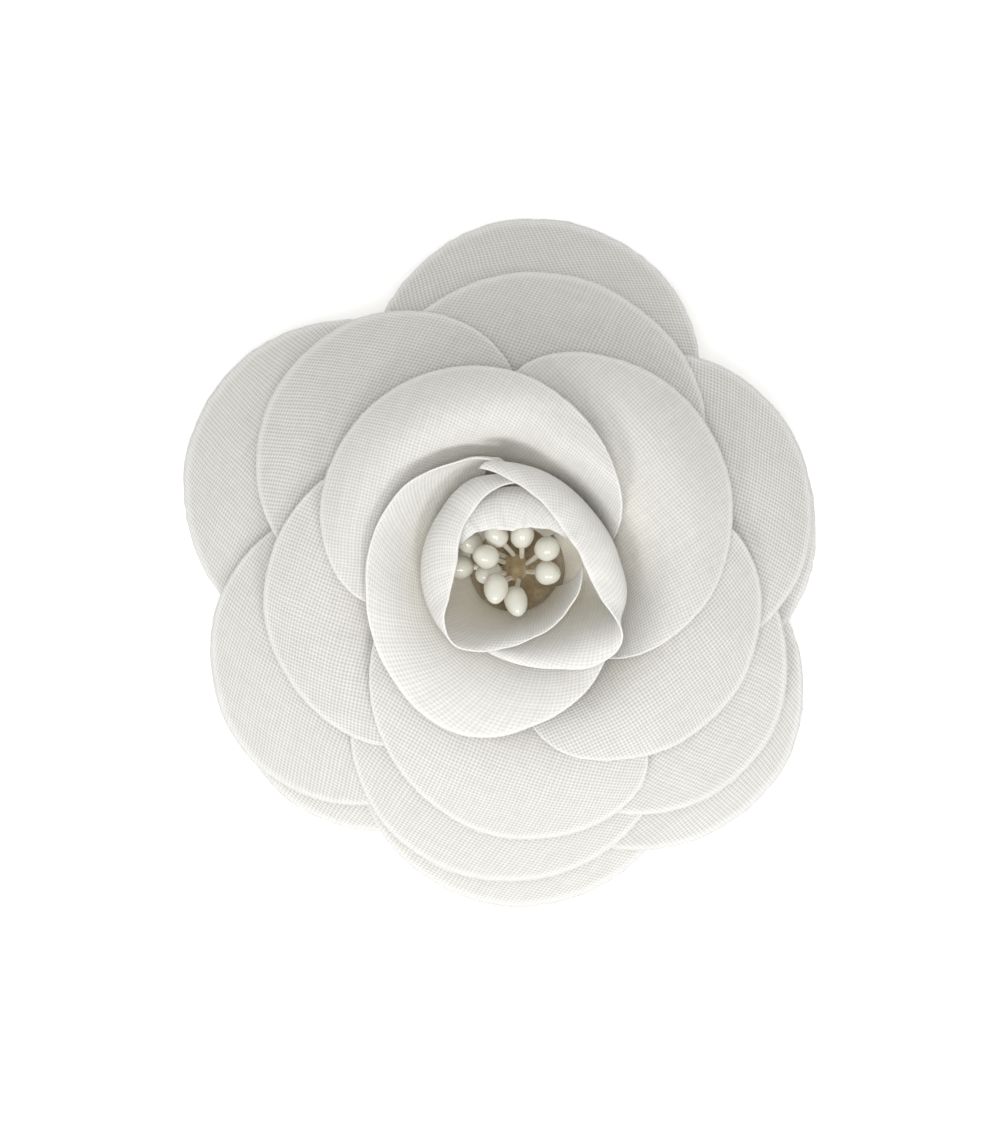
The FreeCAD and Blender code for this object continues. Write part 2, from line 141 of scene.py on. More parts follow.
# Pearl heads: x and y from the flower's axis, height, length, width and azimuth of the long axis.
PEARLS = [
    (-4.3, 1.6, 33.4, 4.0, 3.5, 160), (-2.8, 4.8, 32.4, 4.2, 3.4, 120),
    (1.0, 4.7, 32.8, 4.2, 3.4, 78), (4.6, 2.7, 33.6, 3.9, 3.5, 30),
    (4.7, -0.8, 32.2, 3.9, 3.4, -12), (-2.8, -3.1, 34.0, 4.7, 3.5, -95),
    (0.1, -4.9, 31.8, 4.8, 3.4, -78), (-3.9, -0.8, 30.0, 4.0, 3.4, 205),
    (-6.6, 3.7, 29.8, 4.0, 3.4, 152), (-7.9, 0.1, 27.0, 4.0, 3.4, 183),
]


# ---- mesh helpers -------------------------------------------------------------------------------
def mix(a, b, t):
    return a + (b - a) * t


def new_piece(name, verts, faces, material, node=None, body="flower"):
    """A smooth-shaded piece from vertices in mm, riding on a body and standing for a CAD node."""
    mesh = bpy.data.meshes.new(name)
    mesh.from_pydata([tuple(c * MM for c in v) for v in verts], [], faces)
    mesh.materials.append(material)
    mesh.polygons.foreach_set("use_smooth", [True] * len(mesh.polygons))
    mesh.update()
    piece = bpy.data.objects.new(name, mesh)
    bpy.context.scene.collection.objects.link(piece)
    if body:
        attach(piece, body)
    if node:
        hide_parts(node)
    return piece


def grid_faces(rows, columns, start=0, flip=False):
    """Quads over a rows by columns grid of vertices."""
    faces = []
    for i in range(rows - 1):
        for j in range(columns - 1):
            a = start + i * columns + j
            quad = (a, a + columns, a + columns + 1, a + 1)
            faces.append(quad[::-1] if flip else quad)
    return faces


def lump(point, scale, seed):
    """Smooth noise of about -1 to 1 at a point in mm, for features about scale mm across."""
    return noise.noise(Vector(point) / scale + Vector((seed * 7.3, seed * 3.1, seed * 5.7)))


def lumps(points, scale, seed):
    flat = points.reshape(-1, 3)
    return np.array([lump(p, scale, seed) for p in flat]).reshape(points.shape[:-1])


def lathe(profile, steps, wobble=None):
    """Vertices and faces of a turned shape from (r, z) points, closed at both ends on the axis."""
    verts, faces = [], []
    inner = profile[1:-1]
    for r, z in inner:
        for k in range(steps):
            a = 2 * pi * k / steps
            grow = wobble(a, r, z) if wobble else 0.0
            verts.append(((r + grow) * cos(a), (r + grow) * sin(a), z))
    for i in range(len(inner) - 1):
        for k in range(steps):
            a, b = i * steps + k, i * steps + (k + 1) % steps
            faces.append((a, b, b + steps, a + steps))
    low, high = len(verts), len(verts) + 1
    verts += [(0, 0, profile[0][1]), (0, 0, profile[-1][1])]
    top = (len(inner) - 1) * steps
    for k in range(steps):
        faces.append((low, (k + 1) % steps, k))
        faces.append((high, top + k, top + (k + 1) % steps))
    return verts, faces


def tube(path, radius, sides=12):
    """Vertices and faces of a closed round tube along a list of points."""
    points = [Vector(p) for p in path]
    verts, faces = [], []
    across = Vector((0.1, 0.2, 1.0))
    for i, p in enumerate(points):
        ahead = (points[min(i + 1, len(points) - 1)] - points[max(i - 1, 0)]).normalized()
        side = across - ahead * across.dot(ahead)
        side = side.normalized() if side.length > 1e-6 else ahead.orthogonal().normalized()
        across = side
        other = ahead.cross(side)
        r = radius(i / (len(points) - 1)) if callable(radius) else radius
        for k in range(sides):
            a = 2 * pi * k / sides
            verts.append(p + (side * cos(a) + other * sin(a)) * r)
    for i in range(len(points) - 1):
        for k in range(sides):
            a, b = i * sides + k, i * sides + (k + 1) % sides
            faces.append((a, b, b + sides, a + sides))
    faces.append(tuple(range(sides))[::-1])
    faces.append(tuple(range((len(points) - 1) * sides, len(points) * sides)))
    return verts, faces


# ---- petal surfaces -----------------------------------------------------------------------------
def profile_poles(layer):
    """Poles of the radial profile curve of each depth layer: layers nest without crossing."""
    lift = np.where(layer < 0, 2.0, 4.25)
    return [
        (9.5 + 0.7 * (layer - 1), 16.0 - 1.1 * (layer - 1)),
        (19.0 + 0.5 * layer, 22.0 - 1.417 * layer),
        (19.0 + 2.667 * layer, 42.0 - lift * layer),
        (33.0 + 4.6 * layer - 0.29 * layer ** 2, 26.5 - 5.2 * layer + 0.08 * layer ** 2),
    ]


def cubic(poles, t, k):
    a, b, c, d = (p[k] for p in poles)
    return a * (1 - t) ** 3 + 3 * b * t * (1 - t) ** 2 + 3 * c * t * t * (1 - t) + d * t ** 3


def layer_height(layer, r):
    """Height of each layer's profile at radius r, by bisection."""
    poles = profile_poles(layer)
    low, high = np.zeros_like(r), np.full_like(r, 1.4)
    for _ in range(30):
        middle = (low + high) / 2
        short = cubic(poles, middle, 0) < r
        low, high = np.where(short, middle, low), np.where(short, high, middle)
    return cubic(poles, low, 1)


def smooth_values(points, xs):
    """A smooth curve through (x, value) points, read at each x."""
    px = np.array([p[0] for p in points], float)
    py = np.array([p[1] for p in points], float)
    last = len(points) - 1
    after, before = np.minimum(np.arange(last + 1) + 1, last), np.maximum(np.arange(last + 1) - 1, 0)
    slopes = (py[after] - py[before]) / (px[after] - px[before])
    x = np.clip(xs, px[0], px[-1])
    i = np.clip(np.searchsorted(px, x, side="right") - 1, 0, last - 1)
    h = px[i + 1] - px[i]
    t = (x - px[i]) / h
    return (py[i] * (1 + 2 * t) * (1 - t) ** 2 + py[i + 1] * t * t * (3 - 2 * t)
            + h * slopes[i] * t * (1 - t) ** 2 + h * slopes[i + 1] * t * t * (t - 1))


def polar(r, azimuth, z):
    a = np.radians(azimuth)
    return np.stack([FLOWER_X + r * np.cos(a), FLOWER_Y + r * np.sin(a), z + 0 * r], axis=-1)


def edge_wave(u, seed, strength):
    """A slow uneven wave along a rim, for cloth that was cut and curled by hand."""
    return strength * (np.sin(5.1 * u + seed * 1.7) + 0.6 * np.sin(9.7 * u + seed * 2.9)
                       + 0.35 * np.sin(17.3 * u + seed * 4.1)) / 1.6


def spiral_grid(petal, number, u, v):
    """Mid-surface points of a spiral petal and its cloth's azimuths from its middle."""
    _, layer, lean, start, end, circle_azimuth, distance, circle_r, _ = petal
    middle, half = (start + end) / 2, (end - start) / 2

    def layer_at(azimuth):
        return layer + TILT_LIMIT * np.tanh((azimuth - lean) / SPIRAL_TILT / TILT_LIMIT)

    rim_azimuth = middle + u * half
    a = np.radians(rim_azimuth - circle_azimuth)
    rim = distance * np.cos(a) + np.sqrt(np.maximum(circle_r ** 2 - (distance * np.sin(a)) ** 2, 0))
    rim_foot = profile_poles(layer_at(rim_azimuth))[0][0]
    ragged = 0.09 if number >= FIRST_OUTER else 0.04
    cut = edge_wave(u, number, 0.22) + ragged * np.sin(61 * u + 3 * np.sin(23 * u))
    reach = (rim + cut - rim_foot) * mix(CORNER_REACH, 1.0, np.cos(pi / 2 * u ** 6))
    azimuth = middle + u * half * mix(FOOT_SPAN, 1.0, 1 - (1 - v) ** 2)
    here = layer_at(azimuth)
    r = profile_poles(here)[0][0] + reach * v
    z = layer_height(here, r) + edge_wave(1.3 * u, number + 5, 0.35) * v ** 3
    filled = smooth_values(FULL_FROM_CENTRE, r) * smooth_values(FULL_ROUND, azimuth)
    z = z + filled * np.clip(1.2 - 0.35 * here, 0, 1)
    return polar(r, azimuth, z), azimuth - middle


def cup_grid(petal, number, u, v):
    """Mid-surface points of an upright cup petal and its cloth's azimuths from its middle."""
    _, layer, start, end, belly_z, bellies, rims, rim_heights, _ = petal
    middle, half = (start + end) / 2, (end - start) / 2
    foot_r, foot_z = profile_poles(np.float64(layer))[0]
    azimuth = middle + u * half * mix(CUP_FOOT_SPAN, 1.0, v)
    low = (v - BELLY_AT) * (v - 1) / BELLY_AT
    mid = v * (1 - v) / (BELLY_AT * (1 - BELLY_AT))
    high = v * (v - BELLY_AT) / (1 - BELLY_AT)
    rim = smooth_values(rims, azimuth) + edge_wave(2.3 * u, number, 0.12)
    r = low * foot_r + mid * smooth_values(bellies, azimuth) + high * rim
    z = low * foot_z + mid * belly_z + high * smooth_values(rim_heights, azimuth)
    z = z - CUP_CORNER_DROP * u ** 10 * v ** 3 + edge_wave(2.9 * u, number + 3, 0.2) * v ** 3
    return polar(r, azimuth, z), azimuth - middle


def grid_normals(points):
    normals = np.cross(np.gradient(points, axis=0), np.gradient(points, axis=1))
    return normals / np.linalg.norm(normals, axis=-1, keepdims=True)


def spiral_cloth(points, out, turned):
    """Flat cloth coordinates, in mm, of a petal that fans out from the flower's axis."""
    turn = np.radians(turned * FAN)
    return out * np.sin(turn), out * np.cos(turn)


def cup_cloth(points, out, turned):
    """Flat cloth coordinates, in mm, of a petal that stands up round the flower's axis."""
    mean_r = np.hypot(points[..., 0] - FLOWER_X, points[..., 1] - FLOWER_Y).mean()
    return mean_r * np.radians(turned), out


def closed_skins(points, thin):
    """Vertices and faces of a thin body: two skins offset from a grid of points, joined at its edge."""
    normals = grid_normals(points)
    verts = np.concatenate([s.reshape(-1, 3) for s in (points + normals * thin, points - normals * thin)])
    rows, columns = points.shape[:2]
    total = rows * columns
    faces = grid_faces(rows, columns) + grid_faces(rows, columns, total, flip=True)
    border = ([j for j in range(columns)] + [i * columns + columns - 1 for i in range(1, rows)]
              + [(rows - 1) * columns + j for j in range(columns - 2, -1, -1)]
              + [i * columns for i in range(rows - 2, 0, -1)])
    faces += [(a, b, b + total, a + total) for a, b in zip(border, border[1:] + border[:1])]
    return verts.tolist(), faces


def petal_piece(petal, points, turned, number, material, flatten):
    """Two offset skins closed round their edge, with cloth coordinates in threads for the weave."""
    name, grain = petal[0], radians(petal[-1])
    normals = grid_normals(points)
    v = np.linspace(0, 1, points.shape[1])[None, :]
    dents = 0.14 * lumps(points, 9.0, number) + 0.02 * lumps(points, 3.5, number + 30)
    points = points + normals * (dents * (0.35 + 0.65 * v))[..., None]
    verts, faces = closed_skins(points, PETAL_T / 2 * (1 - 0.35 * v[..., None] ** 12))
    piece = new_piece(f"{name}_cloth", verts, faces, material, node=name)

    rows = len(points)
    steps = np.linalg.norm(np.diff(points, axis=1), axis=-1)
    out = np.concatenate([np.zeros((rows, 1)), np.cumsum(steps, axis=1)], axis=1)
    out += np.hypot(points[:, :1, 0] - FLOWER_X, points[:, :1, 1] - FLOWER_Y)
    x, y = flatten(points, out, turned)
    along_grain, across_grain = x * cos(grain) + y * sin(grain), y * cos(grain) - x * sin(grain)
    cloth = np.stack([along_grain, across_grain], axis=-1) / THREAD_PITCH
    place = np.stack(np.broadcast_arrays(np.linspace(0, 1, rows)[:, None], v), axis=-1)
    for layer_name, values in (("Cloth", cloth), ("Petal", place)):
        per_vertex = np.concatenate([values.reshape(-1, 2)] * 2)
        layer = piece.data.uv_layers.new(name=layer_name)
        loops = np.empty(len(piece.data.loops), dtype=np.int32)
        piece.data.loops.foreach_get("vertex_index", loops)
        layer.data.foreach_set("uv", per_vertex[loops].astype(np.float32).ravel())
    return piece, points


def cloth_size(points):
    """Width, length and area of a sheet's mid-surface, in metres.

    The width is that of the longest line across, which on a petal is its whole curved rim, so it is more
    than the width of the flat cut.
    """
    across = np.linalg.norm(np.diff(points, axis=0), axis=-1).sum(axis=0).max()
    out = np.linalg.norm(np.diff(points, axis=1), axis=-1).sum(axis=1).max()
    a, b = np.diff(points, axis=0)[:, :-1], np.diff(points, axis=1)[:-1]
    area = np.linalg.norm(np.cross(a, b), axis=-1).sum()
    return across * MM, out * MM, area * MM * MM


# ---- material helpers ---------------------------------------------------------------------------
class Graph:
    """A short way to build a node material."""

    def __init__(self, name):
        self.material = bpy.data.materials.new(name)
        self.material.use_nodes = True
        self.tree = self.material.node_tree
        self.tree.nodes.clear()
        self.output = self.tree.nodes.new("ShaderNodeOutputMaterial")

    def node(self, kind, inputs=(), **settings):
        made = self.tree.nodes.new(kind)
        for key, value in settings.items():
            setattr(made, key, value)
        for key, value in dict(inputs).items():
            self.put(made.inputs[key], value)
        return made

    def put(self, socket, value):
        if isinstance(value, bpy.types.NodeSocket):
            self.tree.links.new(value, socket)
        else:
            socket.default_value = value

    def math(self, operation, a, b=0.0, c=0.0):
        return self.node("ShaderNodeMath", {0: a, 1: b, 2: c}, operation=operation).outputs[0]

    def remap(self, value, from_low, from_high, to_low, to_high):
        keys = {0: value, 1: from_low, 2: from_high, 3: to_low, 4: to_high}
        return self.node("ShaderNodeMapRange", keys).outputs[0]

    def blend(self, factor, a, b):
        made = self.node("ShaderNodeMix", data_type="RGBA", blend_type="MIX")
        for key, value in ((0, factor), (6, a), (7, b)):
            self.put(made.inputs[key], value)
        return made.outputs[2]

    def noise(self, scale, detail=3.0, rough=0.55):
        place = self.node("ShaderNodeTexCoord").outputs["Object"]
        keys = {"Scale": scale, "Detail": detail, "Roughness": rough, "Vector": place}
        return self.node("ShaderNodeTexNoise", keys).outputs["Fac"]

    def bump(self, height, strength, distance_mm):
        keys = {"Height": height, "Strength": strength, "Distance": distance_mm * MM}
        return self.node("ShaderNodeBump", keys).outputs["Normal"]

    def shader(self, **inputs):
        names = {key.replace("_", " ").title().replace("Ior", "IOR"): value for key, value in inputs.items()}
        return self.node("ShaderNodeBsdfPrincipled", names).outputs[0]

    def finish(self, shader):
        self.put(self.output.inputs["Surface"], shader)
        return self.material


def darker(colour, share):
    return tuple(c * share for c in colour[:3]) + (1,)


def chiffon(name, tint, crevice_light_tint, through, gap_shade_strength):
    """Plain-woven stiffened chiffon: over-and-under threads with small gaps painted in shade, painted warm
    light towards the foot where the crevices between petals are, and a painted highlight along the rim.
    """
    g = Graph(name)
    cloth = g.node("ShaderNodeUVMap", uv_map="Cloth").outputs[0]
    place = g.node("ShaderNodeSeparateXYZ", {0: g.node("ShaderNodeUVMap", uv_map="Petal").outputs[0]})
    waver = g.node("ShaderNodeTexNoise", {"Vector": cloth, "Scale": 0.05, "Detail": 1.0}).outputs["Color"]
    pulled = g.node("ShaderNodeVectorMath", {0: waver, 1: (2.2, 2.2, 0.0), 2: cloth},
                    operation="MULTIPLY_ADD")
    axes = g.node("ShaderNodeSeparateXYZ", {0: pulled.outputs[0]})
    warp = g.math("SINE", g.math("MULTIPLY", axes.outputs[0], pi))
    weft = g.math("SINE", g.math("MULTIPLY", axes.outputs[1], pi))
    over = g.math("MULTIPLY", warp, weft)
    warp_height = g.math("MULTIPLY", g.math("ABSOLUTE", warp), g.math("MULTIPLY_ADD", over, 0.35, 0.65))
    weft_height = g.math("MULTIPLY", g.math("ABSOLUTE", weft), g.math("MULTIPLY_ADD", over, -0.35, 0.65))
    height = g.math("MAXIMUM", warp_height, weft_height)

    slub = g.node("ShaderNodeTexNoise", {"Vector": cloth, "Scale": 0.35, "Detail": 2.0}).outputs["Fac"]
    streaks = []
    for squeeze in ((0.9, 0.03, 1.0), (0.03, 0.9, 1.0)):
        along = g.node("ShaderNodeVectorMath", {0: pulled.outputs[0], 1: squeeze}, operation="MULTIPLY")
        keys = {"Vector": along.outputs[0], "Scale": 1.0, "Detail": 1.0}
        streaks.append(g.node("ShaderNodeTexNoise", keys).outputs["Fac"])
    uneven = g.math("ADD", streaks[0], streaks[1])
    foot = g.remap(place.outputs[1], 0.1, 0.62, 1.0, 0.0)
    # Painted highlight: a pale band in the last few per cent of each petal's length, along its rim.
    rim = g.remap(place.outputs[1], 0.965, 0.995, 0.0, 1.0)
    base = g.blend(g.remap(g.noise(60.0, 2.0), 0.35, 0.65, 0.0, 0.5), tint, darker(tint, 0.975))
    # Painted light: towards the foot the colour turns warm and pale. This stands in for light that passes
    # through and bounces between the petals in the crevices.
    base = g.blend(g.math("MULTIPLY", foot, 0.8), base, crevice_light_tint)
    base = g.blend(g.remap(uneven, 0.75, 1.2, 0.5, 0.0), base, darker(tint, 0.88))
    # Painted shade: the gaps between the threads are painted darker and warmer. This stands in for the shade
    # seen through the weave.
    gaps = g.remap(g.math("ADD", height, g.math("MULTIPLY", slub, 0.2)), 0.3, 1.0, gap_shade_strength, 0.0)
    # The painted gap shade is also taken down towards the foot, which lightens the crevices.
    gaps = g.math("MULTIPLY", gaps, g.math("MULTIPLY_ADD", foot, -0.75, 1.0))
    gap_shade_colour = tuple(c * f for c, f in zip(tint[:3], (0.58, 0.565, 0.53))) + (1,)
    colour = g.blend(gaps, base, gap_shade_colour)
    # The painted rim highlight is mixed in here.
    colour = g.blend(g.math("MULTIPLY", rim, 0.6), colour, (0.95, 0.945, 0.93, 1))

    normal = g.bump(height, 0.5, 0.1)
    rough = g.remap(height, 0.2, 0.9, 0.92, 0.75)
    skin = g.shader(base_color=colour, roughness=rough, normal=normal, sheen_weight=0.25,
                    sheen_roughness=0.5, specular_ior_level=0.2)
    glow = g.node("ShaderNodeBsdfTranslucent", {"Color": colour, "Normal": normal})
    both = g.node("ShaderNodeMixShader", {0: through, 1: skin, 2: glow.outputs[0]})
    return g.finish(both.outputs[0])


def pearl_paste():
    """Glossy ivory paste with a faint lustre and tiny lumps."""
    g = Graph("pearl_paste")
    soft = g.noise(260.0, 2.0)
    colour = g.blend(soft, (0.58, 0.53, 0.44, 1), (0.70, 0.66, 0.58, 1))
    normal = g.bump(g.noise(700.0, 3.0), 0.25, 0.15)
    rough = g.remap(g.noise(900.0, 2.0), 0.3, 0.7, 0.12, 0.26)
    return g.finish(g.shader(base_color=colour, roughness=rough, normal=normal, coat_weight=0.6,
                             coat_roughness=0.12, subsurface_weight=0.15, sheen_weight=0.1))


def fibre(name, light, dark, scale, bump_mm, strength=0.6):
    """Matted fibres: felt, wadding, starched thread or crepe tape."""
    g = Graph(name)
    coarse, fine = g.noise(scale, 4.0), g.noise(scale * 6, 5.0, rough=0.7)
    colour = g.blend(g.remap(coarse, 0.3, 0.7, 0.0, 1.0), light, dark)
    colour = g.blend(g.remap(fine, 0.35, 0.75, 0.0, 0.6), colour, darker(dark, 0.8))
    normal = g.bump(g.math("ADD", coarse, fine), strength, bump_mm)
    rough = g.remap(fine, 0.3, 0.7, 0.85, 1.0)
    return g.finish(g.shader(base_color=colour, roughness=rough, normal=normal, sheen_weight=0.5,
                             sheen_roughness=0.6))


def plated_steel(name, colour, rough_low, rough_high, scratch_axis):
    """Bright metal with brushed streaks, faint scratches and duller edges."""
    g = Graph(name)
    place = g.node("ShaderNodeTexCoord").outputs["Object"]
    squeeze = [3000.0] * 3
    squeeze[scratch_axis] = 120.0
    streak_place = g.node("ShaderNodeMapping", {"Vector": place, "Scale": squeeze}).outputs[0]
    keys = {"Vector": streak_place, "Scale": 1.0, "Detail": 4.0}
    streaks = g.node("ShaderNodeTexNoise", keys).outputs["Fac"]
    smudge = g.noise(160.0, 3.0)
    edge = g.remap(g.node("ShaderNodeNewGeometry").outputs["Pointiness"], 0.5, 0.56, 0.0, 1.0)
    tone = g.blend(g.remap(smudge, 0.35, 0.7, 0.0, 1.0), colour, darker(colour, 0.82))
    tone = g.blend(g.math("MULTIPLY", edge, 0.5), tone, (0.42, 0.40, 0.37, 1))
    rough = g.math("ADD", g.remap(streaks, 0.3, 0.7, rough_low, rough_high), g.math("MULTIPLY", edge, 0.15))
    normal = g.bump(streaks, 0.25, 0.05)
    return g.finish(g.shader(base_color=tone, metallic=1.0, roughness=rough, normal=normal))


def set_glue():
    """Cloudy hot glue with a lumpy skin."""
    g = Graph("set_glue")
    colour = g.blend(g.noise(300.0), (0.80, 0.76, 0.66, 1), (0.88, 0.86, 0.80, 1))
    normal = g.bump(g.noise(350.0, 2.0), 0.6, 0.4)
    return g.finish(g.shader(base_color=colour, roughness=g.remap(g.noise(500.0), 0.3, 0.7, 0.3, 0.5),
                             normal=normal, subsurface_weight=0.2))


# ---- petals -------------------------------------------------------------------------------------
def declare_petal(points):
    """Work out a petal's cloth size. An area under the least share is raised to it, as petal_11's is."""
    width, length, area = cloth_size(points)
    area = min(max(area, LEAST_SHARE * width * length), width * length)


def make_petals():
    # One chiffon in three copies. The inner and cup copies are painted paler, with less painted gap shade.
    # This is painted light that makes up for the shade among the inner petals and down in the well.
    outer = chiffon("outer_chiffon", (0.88, 0.875, 0.855, 1), (0.96, 0.90, 0.77, 1), 0.25, 0.85)
    inner = chiffon("inner_chiffon_painted_light", (0.90, 0.895, 0.875, 1), (0.98, 0.93, 0.80, 1), 0.3, 0.65)
    across, out = np.sin(pi / 2 * np.linspace(-1, 1, STEPS_ACROSS + 1)), np.linspace(0, 1, STEPS_OUT + 1)
    u, v = np.meshgrid(across, out, indexing="ij")
    for number, petal in enumerate(SPIRAL_PETALS, 1):
        points, turned = spiral_grid(petal, number, u, v)
        material = inner if number <= LAST_INNER else outer
        piece, points = petal_piece(petal, points, turned, number, material, spiral_cloth)
        declare_petal(points)
    u, v = np.meshgrid(np.linspace(-1, 1, CUP_STEPS + 1), out, indexing="ij")
    # The cup copy is painted palest: painted light that makes up for the shade in the well.
    cup = chiffon("cup_chiffon_painted_light", (0.98, 0.975, 0.95, 1), (0.98, 0.94, 0.80, 1), 0.3, 0.5)
    for number, petal in enumerate(CUP_PETALS, len(SPIRAL_PETALS) + 1):
        points, turned = cup_grid(petal, number, u, v)
        piece, points = petal_piece(petal, points, turned, number, cup, cup_cloth)
        declare_petal(points)


# ---- stamens ------------------------------------------------------------------------------------
def pearl_axis(pearl):
    """Unit vector along a head, from its thread out to its free end, which is lifted a little."""
    a = radians(pearl[5])
    return Vector((cos(a) * cos(pi / 6), sin(a) * cos(pi / 6), sin(pi / 6)))


def pearl_piece(number, pearl, material):
    """A drop of paste: fuller at its free end, drawn in where the thread enters it."""
    x, y, z, length, width, _ = pearl
    profile = []
    for i in range(33):
        t = pi * i / 32
        full = 1.0 + 0.10 * cos(t) + 0.03 * sin(number + 2 * t)
        profile.append((width / 2 * sin(t) * full, -length / 2 * cos(t)))
    verts, faces = lathe(profile, 40, lambda a, r, h: 0.07 * lump((r * cos(a), r * sin(a), h), 1.4, number))
    lie = Vector((0, 0, -1)).rotation_difference(-pearl_axis(pearl))
    centre = Vector((FLOWER_X + x, FLOWER_Y + y, z))
    verts = [centre + lie @ Vector(p) for p in verts]
    return new_piece(f"pearl_{number:02d}", verts, faces, material, node=f"pearl_head_{number:02d}")


def bowed_thread(foot, head, bow):
    """Points of a stiff thread that bows outward a little between its foot and its head."""
    outward = Vector((head.x - FLOWER_X, head.y - FLOWER_Y, 0)).normalized()
    return [foot.lerp(head, t) + outward * (bow * sin(pi * t)) for t in (k / 24 for k in range(25))]


def make_stamens():
    paste = pearl_paste()
    thread_cloth = fibre("stamen_thread", (0.86, 0.81, 0.66, 1), (0.70, 0.62, 0.44, 1), 900.0, 0.12)
    # The binding tape's dark brown is partly its own colour and partly painted shade of the deep well it
    # sits in.
    tape = fibre("floral_tape", (0.42, 0.34, 0.20, 1), (0.24, 0.17, 0.08, 1), 500.0, 0.2)
    for number, pearl in enumerate(PEARLS, 1):
        pearl_piece(number, pearl, paste)
    by_azimuth = sorted(PEARLS, key=lambda pearl: atan2(pearl[1], pearl[0]))
    for index in range(5):
        verts, faces = [], []
        for pearl in (PEARLS[index], PEARLS[index + 5]):
            azimuth = by_azimuth.index(pearl) * 360 / len(PEARLS) + FIRST_FOOT_AZIMUTH
            foot = Vector(polar(THREAD_FOOT_R, azimuth, STAMEN_FOOT_Z).tolist())
            head = Vector((FLOWER_X + pearl[0], FLOWER_Y + pearl[1], pearl[2])) - pearl_axis(pearl) * 1.1
            more, round_it = tube(bowed_thread(foot, head, 0.35), lambda t: THREAD_R * (1.0 + 0.35 * t * t))
            faces += [tuple(k + len(verts) for k in face) for face in round_it]
            verts += more
        new_piece(f"threads_{index + 1}", verts, faces, thread_cloth, node=f"stamen_threads_{index + 1}")

    def wound(a, r, z):
        return 0.09 * sin(2 * pi * z / 0.62 + a) if r > BINDING_R * 0.5 else 0.0

    foot_z = CORE_TOP - 0.3
    profile = [(0, foot_z), (BINDING_R * 0.92, foot_z + 0.05)]
    profile += [(BINDING_R * 0.94, foot_z + 0.1 + (BINDING_H - 0.3) * k / 24) for k in range(25)]
    profile += [(BINDING_R * 0.6, foot_z + BINDING_H - 0.05), (0, foot_z + BINDING_H)]
    verts, faces = lathe(profile, 48, wound)
    verts = [(x + FLOWER_X, y + FLOWER_Y, z) for x, y, z in verts]
    new_piece("binding_tape", verts, faces, tape, node="stamen_binding")


# ---- core, felt and glue ------------------------------------------------------------------------
def make_core():
    # The wadding's dark brown is partly its own colour and partly painted shade of the deep well it fills.
    wadding = fibre("core_wadding", (0.42, 0.33, 0.20, 1), (0.22, 0.15, 0.07, 1), 320.0, 0.5)
    outline = [(0, CORE_FLOOR + 0.02), (CORE_FOOT_R - 0.4, CORE_FLOOR + 0.02),
               (CORE_FOOT_R, CORE_FLOOR + 0.4)]
    outline += [(mix(CORE_FOOT_R, CORE_CROWN_R, k / 20), mix(CORE_FLOOR + 0.5, CORE_TOP - 0.7, k / 20))
                for k in range(21)]
    outline += [(CORE_CROWN_R * cos(a), CORE_TOP - 0.7 + 0.7 * sin(a)) for a in (0.3, 0.6, 0.9, 1.2)]
    outline += [(0, CORE_TOP)]
    verts, faces = lathe(outline, 96, lambda a, r, z: 0.22 * lump((r * cos(a), r * sin(a), z), 2.5, 3) - 0.1)
    verts = [(x + FLOWER_X, y + FLOWER_Y, z) for x, y, z in verts]
    new_piece("wadding_core", verts, faces, wadding, node="flower_core")


def rounded_slab(half_x, half_y, low, high, roundness, fuzz, seed):
    """A soft-edged slab with a superellipse outline, its surface pushed about by smooth noise."""
    steps, rings = 160, 18
    sections = [(t, low) for t in np.linspace(0.02, 0.97, rings)]
    sections += [(0.97 + 0.03 * sin(a), mix(low, high, 0.5 - 0.5 * cos(a)))
                 for a in np.linspace(0, pi, 9)[1:-1]]
    sections += [(t, high) for t in np.linspace(0.97, 0.02, rings)]
    verts, faces = [], []
    for scale, z in sections:
        for k in range(steps):
            a = 2 * pi * k / steps
            reach = (abs(cos(a)) ** roundness + abs(sin(a)) ** roundness) ** (-1 / roundness)
            x, y = half_x * scale * reach * cos(a), half_y * scale * reach * sin(a)
            push = 1 + fuzz * lump((x, y, z), 1.3, seed) / max(half_x, half_y)
            verts.append((x * push, y * push, z + 0.35 * fuzz * lump((x, y, z), 1.7, seed + 1)))
    for i in range(len(sections) - 1):
        for k in range(steps):
            a, b = i * steps + k, i * steps + (k + 1) % steps
            faces.append((a, b, b + steps, a + steps))
    faces.append(tuple(range(steps))[::-1])
    faces.append(tuple(range((len(sections) - 1) * steps, len(sections) * steps)))
    return verts, faces


def make_felt_disc(felt):
    low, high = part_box("felt_backing")
    centre, radius = [(a + b) / 2 / MM for a, b in zip(low, high)], (high[0] - low[0]) / 2 / MM
    half = radius - FELT_EASE
    verts, faces = rounded_slab(half, half, low[2] / MM + 0.04, high[2] / MM - 0.04, 2.0, 0.16, 11)
    verts = [(x + centre[0], y + centre[1], z) for x, y, z in verts]
    disc = new_piece("felt_disc", verts, faces, felt, node="felt_backing")


